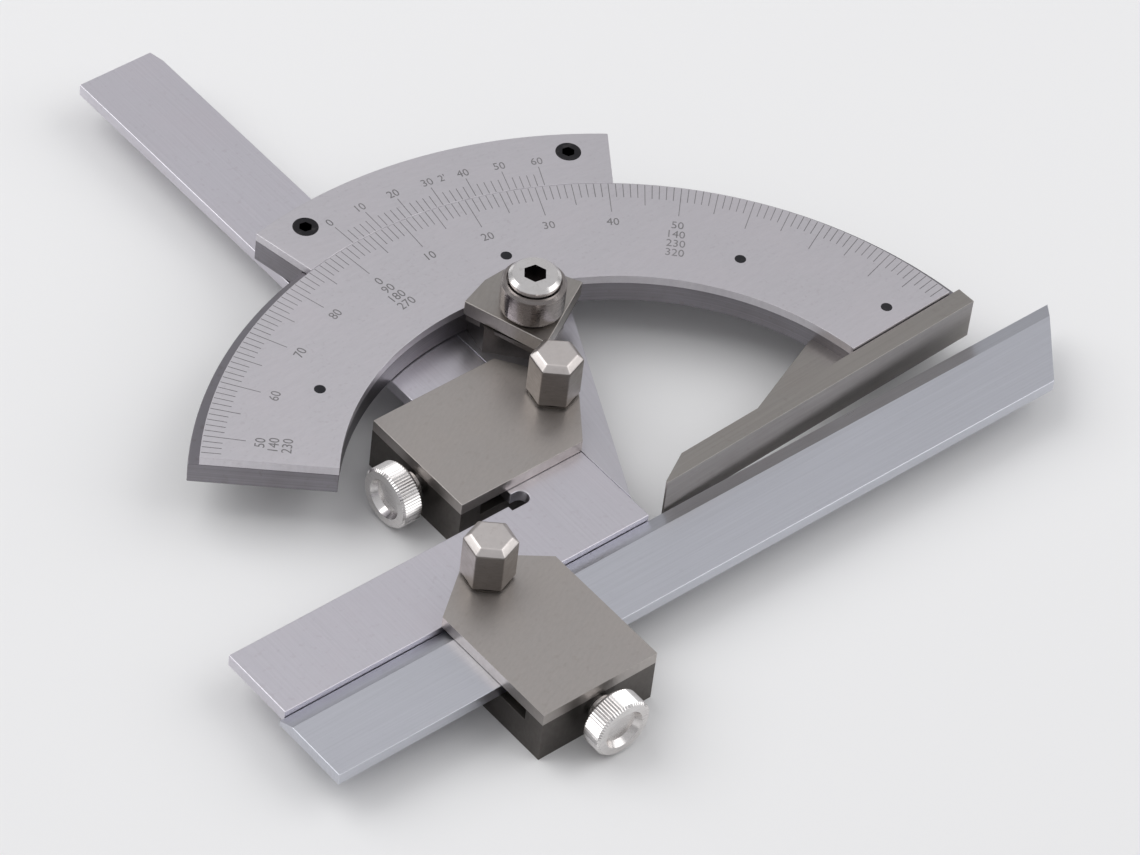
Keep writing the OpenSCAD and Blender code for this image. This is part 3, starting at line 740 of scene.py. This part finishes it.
cover_finish = steel("ground_cover", (0.46, 0.43, 0.41), (0.37, 0.33, 0.30), (700, 2000, 900), turn=25,
                     depth=0.2, drift=0.16, roughness=0.37, marks=0.28)
# The knob's flats are dark and its top is bright: partly a milled side and a turned top, partly painted shade on
# the sides and painted light on top.
knob_side_shade_finish = steel("milled_knob_painted_shade", (0.26, 0.24, 0.225), (0.17, 0.145, 0.13), (700, 700, 2600), depth=0.35,
                    drift=0.25, roughness=0.4, marks=0.35)
knob_top_light_finish = steel("turned_knob_top_painted_light", (0.68, 0.64, 0.62), (0.46, 0.41, 0.38), (700, 700, 2600), depth=0.2,
                        drift=0.16, roughness=0.36, marks=0.25)
# The washers are near-black: painted shade at the knobs' feet.
washer_shade_finish = steel("spring_washer_painted_shade", (0.12, 0.11, 0.10), (0.07, 0.06, 0.05), (900, 900, 900), depth=0.3,
                      roughness=0.5, marks=0.4)


def at_clamp(bm, which, x=0.0, y=0.0):
    """Moves a bmesh from a clamp's own frame, its roof along +X, to its place."""
    body, place, turn = CLAMPS[which]
    moved(bm, x, y)
    turned_by(bm, turn)
    moved(bm, place.x, place.y)
    return bm


def hexagon_knob(across, height, turn):
    """A hexagon rod with one crisp chamfer round its top and its corners rounded."""
    bm = bmesh.new()
    foot = bmesh.ops.create_circle(bm, cap_ends=True, segments=6, radius=across / 2 * MM,
                                   matrix=Matrix.Rotation(math.radians(turn + 30), 4, "Z"))["verts"]
    face = foot[0].link_faces[0]
    up = bmesh.ops.extrude_face_region(bm, geom=[face])["geom"]
    bmesh.ops.translate(bm, verts=[g for g in up if isinstance(g, bmesh.types.BMVert)], vec=(0, 0, height * MM))
    bmesh.ops.recalc_face_normals(bm, faces=bm.faces)
    top = [e for e in bm.edges if min(v.co.z for v in e.verts) > (height - 0.01) * MM]
    bmesh.ops.bevel(bm, geom=top, offset=1.0 * MM, offset_type="OFFSET", affect="EDGES", segments=1,
                    profile=0.5, material=-1, clamp_overlap=True)
    ease(bm, 0.22, 3)
    return bm


def knurled_screw(radius, thick, neck_r, neck_end, screw_r, length, teeth=64):
    """A side screw along Z: a knurled head with a dished face, a neck and a plain shank."""
    bm = turned_rod([
        (0, 1.1), (2.9, 1.1), (3.5, 0), (radius - 0.4, 0), (radius, 0.4), (radius, thick - 0.4),
        (radius - 0.4, thick), (neck_r, thick), (neck_r, neck_end), (screw_r, neck_end), (screw_r, length - 0.4),
        (screw_r - 0.4, length), (0, length),
    ], teeth * 2)
    step = math.pi / teeth
    for vert in bm.verts:
        out = math.hypot(vert.co.x, vert.co.y)
        if out > (radius - 0.1) * MM and round(math.atan2(vert.co.y, vert.co.x) / step) % 2:
            vert.co.xy *= (radius - 0.2) / radius
    bmesh.ops.rotate(bm, verts=bm.verts, cent=(0, 0, 0), matrix=Matrix.Rotation(math.radians(90), 3, "Y"))
    return bm


for which, (body, place, turn) in CLAMPS.items():
    stem = f"clamp_{which}"
    body_bm = solid_of(f"{stem}_body")
    ease(body_bm, 0.2)
    clamp_body = new_piece(f"{stem}_body_milled", body_bm, body, "clamp_steel", f"{stem}_body")
    smooth(clamp_body)
    # The clamp body's near-black colour is painted shade under its cover.
    dress(clamp_body, body_shade_finish)
    cover_bm = solid_of(f"{stem}_cover")
    ease(cover_bm, 0.18)
    cover = new_piece(f"{stem}_cover_ground", cover_bm, body, "cover_steel", f"{stem}_cover")
    smooth(cover)
    dress(cover, cover_finish)
    knob_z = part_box(f"{stem}_knob")[0].z / MM
    knob_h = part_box(f"{stem}_knob")[1].z / MM - knob_z
    knob_bm = hexagon_knob(KNOB_ACROSS, knob_h, KNOB_TURN[which])
    moved(knob_bm, 0, 0, knob_z)
    at_clamp(knob_bm, which, STUD_IN)
    knob = new_piece(f"{stem}_knob_hex", knob_bm, f"knob_{which}", "knob_steel", f"{stem}_knob")
    smooth(knob)
    dress(knob, knob_side_shade_finish)
    knob.data.materials.append(knob_top_light_finish)
    # Faces that look up take the bright top colour, partly painted light.
    for face in knob.data.polygons:
        if face.normal.z > 0.5:
            face.material_index = 1
    # The washer's near-black colour is painted shade at the knob's foot.
    dress(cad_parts[f"{stem}_washer"], washer_shade_finish)
    screw_low, screw_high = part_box(f"{stem}_screw")
    along = 0 if which == 1 else 1
    local_x = screw_low[along] / MM - place[along]
    length = (screw_high[along] - screw_low[along]) / MM
    screw_z = (screw_low.z + screw_high.z) / 2 / MM
    screw_bm = knurled_screw(SIDE_R, HEAD_T, NECK_R, HEAD_T + NECK_T, THREAD_R, length)
    moved(screw_bm, 0, 0, screw_z)
    at_clamp(screw_bm, which, local_x)
    side_screw = new_piece(f"{stem}_side_screw", screw_bm, f"side_screw_{which}", "chrome", f"{stem}_screw")
    smooth(side_screw)
    dress(side_screw, chrome_finish)

# ---- hidden fasteners ----
# Plain screws, studs, pins and shoes, hardly seen once fitted, keep their construction shape.
# They are turned or milled steel.
fastener_finish = steel("plain_screw", (0.46, 0.45, 0.45), (0.30, 0.27, 0.26), (900, 900, 2600), depth=0.25,
                        roughness=0.35, marks=0.3)
for node in ("ruler_screws", "rail_screws", "guide_screws", "brake_stud", "clamp_1_pins", "clamp_2_pins",
             "clamp_1_stud", "clamp_2_stud"):
    dress(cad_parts[node], fastener_finish)
# The shoes take the clamp bodies' near-black colour, painted shade.
for node in ("clamp_1_shoe", "clamp_2_shoe"):
    dress(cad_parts[node], body_shade_finish)
